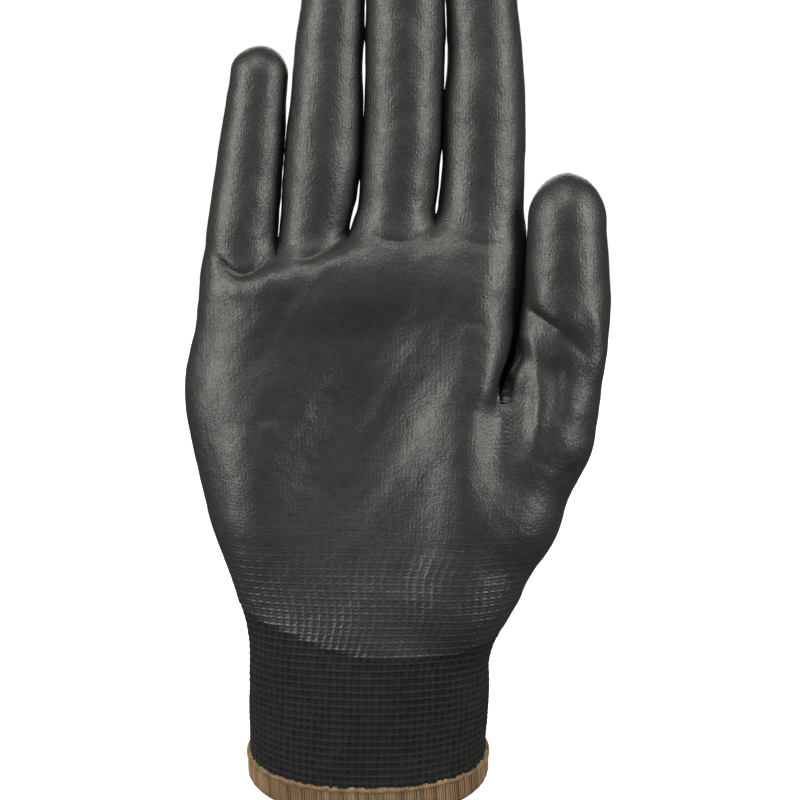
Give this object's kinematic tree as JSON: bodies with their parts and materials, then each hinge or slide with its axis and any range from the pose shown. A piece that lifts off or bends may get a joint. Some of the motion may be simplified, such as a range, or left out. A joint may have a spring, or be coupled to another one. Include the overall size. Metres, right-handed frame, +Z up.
{
  "type": "cut resistant glove",
  "caption": "Right-hand knitted cut resistant glove with a thin palm coating, knit wrist, overlocked hem and fingers that bend at each fold.",
  "frame": {"origin": "centre of the cuff opening, in the plane of the hem", "axes": "+Z up along the middle of the hand towards the fingertips, +X towards the thumb, -Y out of the palm"},
  "size_m": [0.1184, 0.044, 0.2484],
  "materials": {
    "knit": "dark grey fine-gauge knit, matt",
    "coating": "thin soft polyurethane coating, satin, knit shows through",
    "fold_fabric": "coated knit at the folds, satin",
    "hem_thread": "brown overlock thread, wrapped close",
    "elastic": "covered elastic thread"
  },
  "bodies": {
    "cuff": {"cuff_knit": "knit", "cuff_elastic": "elastic", "hem_overlock": "hem_thread"},
    "hand": {"wrist_knit": "knit", "hand_liner": "knit", "palm_coating": "coating"},
    "index_base": {"index_root_fold": "fold_fabric", "index_base_liner": "knit", "index_base_coating": "coating"},
    "index_mid": {"index_mid_fold": "fold_fabric", "index_mid_liner": "knit", "index_mid_coating": "coating"},
    "index_tip": {"index_end_fold": "fold_fabric", "index_tip_liner": "knit", "index_tip_coating": "coating"},
    "middle_base": {"middle_root_fold": "fold_fabric", "middle_base_liner": "knit", "middle_base_coating": "coating"},
    "middle_mid": {"middle_mid_fold": "fold_fabric", "middle_mid_liner": "knit", "middle_mid_coating": "coating"},
    "middle_tip": {"middle_end_fold": "fold_fabric", "middle_tip_liner": "knit", "middle_tip_coating": "coating"},
    "ring_base": {"ring_root_fold": "fold_fabric", "ring_base_liner": "knit", "ring_base_coating": "coating"},
    "ring_mid": {"ring_mid_fold": "fold_fabric", "ring_mid_liner": "knit", "ring_mid_coating": "coating"},
    "ring_tip": {"ring_end_fold": "fold_fabric", "ring_tip_liner": "knit", "ring_tip_coating": "coating"},
    "little_base": {"little_root_fold": "fold_fabric", "little_base_liner": "knit", "little_base_coating": "coating"},
    "little_mid": {"little_mid_fold": "fold_fabric", "little_mid_liner": "knit", "little_mid_coating": "coating"},
    "little_tip": {"little_end_fold": "fold_fabric", "little_tip_liner": "knit", "little_tip_coating": "coating"},
    "thumb_base": {"thumb_root_fold": "fold_fabric", "thumb_base_liner": "knit", "thumb_base_coating": "coating"},
    "thumb_tip": {"thumb_end_fold": "fold_fabric", "thumb_tip_liner": "knit", "thumb_tip_coating": "coating"}
  },
  "joints": [
    {"name": "wrist_bend", "type": "hinge", "parent": "cuff", "child": "hand", "pos_m": [0, 0, 0.0255], "axis": [1, 0, 0], "range_deg": [-35, 40], "deforming": ["wrist_knit"]},
    {"name": "index_root_bend", "type": "hinge", "parent": "hand", "child": "index_base", "pos_m": [0.0314, -0.00508, 0.162], "axis": [0.9999, 0, -0.014], "range_deg": [-10, 78], "deforming": ["index_root_fold"]},
    {"name": "index_mid_bend", "type": "hinge", "parent": "index_base", "child": "index_mid", "pos_m": [0.03169, -0.00475, 0.183], "axis": [0.9999, 0, -0.014], "range_deg": [0, 85], "deforming": ["index_mid_fold"]},
    {"name": "index_end_bend", "type": "hinge", "parent": "index_mid", "child": "index_tip", "pos_m": [0.03199, -0.00449, 0.20448], "axis": [0.9999, 0, -0.014], "range_deg": [0, 50], "deforming": ["index_end_fold"]},
    {"name": "middle_root_bend", "type": "hinge", "parent": "hand", "child": "middle_base", "pos_m": [0.0079, -0.00454, 0.1625], "axis": [0.999, 0, -0.0454], "range_deg": [-10, 78], "deforming": ["middle_root_fold"]},
    {"name": "middle_mid_bend", "type": "hinge", "parent": "middle_base", "child": "middle_mid", "pos_m": [0.00894, -0.00445, 0.18547], "axis": [0.999, 0, -0.0454], "range_deg": [0, 85], "deforming": ["middle_mid_fold"]},
    {"name": "middle_end_bend", "type": "hinge", "parent": "middle_mid", "child": "middle_tip", "pos_m": [0.01017, -0.00441, 0.21241], "axis": [0.999, 0, -0.0454], "range_deg": [0, 50], "deforming": ["middle_end_fold"]},
    {"name": "ring_root_bend", "type": "hinge", "parent": "hand", "child": "ring_base", "pos_m": [-0.01385, -0.00424, 0.158], "axis": [0.998, 0, -0.0628], "range_deg": [-10, 78], "deforming": ["ring_root_fold"]},
    {"name": "ring_mid_bend", "type": "hinge", "parent": "ring_base", "child": "ring_mid", "pos_m": [-0.01247, -0.00424, 0.17992], "axis": [0.998, 0, -0.0628], "range_deg": [0, 85], "deforming": ["ring_mid_fold"]},
    {"name": "ring_end_bend", "type": "hinge", "parent": "ring_mid", "child": "ring_tip", "pos_m": [-0.0109, -0.00403, 0.20489], "axis": [0.998, 0, -0.0628], "range_deg": [0, 50], "deforming": ["ring_end_fold"]},
    {"name": "little_root_bend", "type": "hinge", "parent": "hand", "child": "little_base", "pos_m": [-0.0349, -0.00412, 0.1535], "axis": [0.9952, 0, -0.0976], "range_deg": [-10, 78], "deforming": ["little_root_fold"]},
    {"name": "little_mid_bend", "type": "hinge", "parent": "little_base", "child": "little_mid", "pos_m": [-0.03329, -0.00395, 0.16991], "axis": [0.9952, 0, -0.0976], "range_deg": [0, 85], "deforming": ["little_mid_fold"]},
    {"name": "little_end_bend", "type": "hinge", "parent": "little_mid", "child": "little_tip", "pos_m": [-0.03183, -0.0037, 0.18484], "axis": [0.9952, 0, -0.0976], "range_deg": [0, 50], "deforming": ["little_end_fold"]},
    {"name": "thumb_root_bend", "type": "hinge", "parent": "hand", "child": "thumb_base", "pos_m": [0.05438, -0.00977, 0.11101], "axis": [0.9956, -0.0872, -0.0348], "range_deg": [-15, 50], "deforming": ["thumb_root_fold"]},
    {"name": "thumb_end_bend", "type": "hinge", "parent": "thumb_base", "child": "thumb_tip", "pos_m": [0.05545, -0.00977, 0.14147], "axis": [0.9956, -0.0872, -0.0348], "range_deg": [-5, 60], "deforming": ["thumb_end_fold"]}
  ]
}
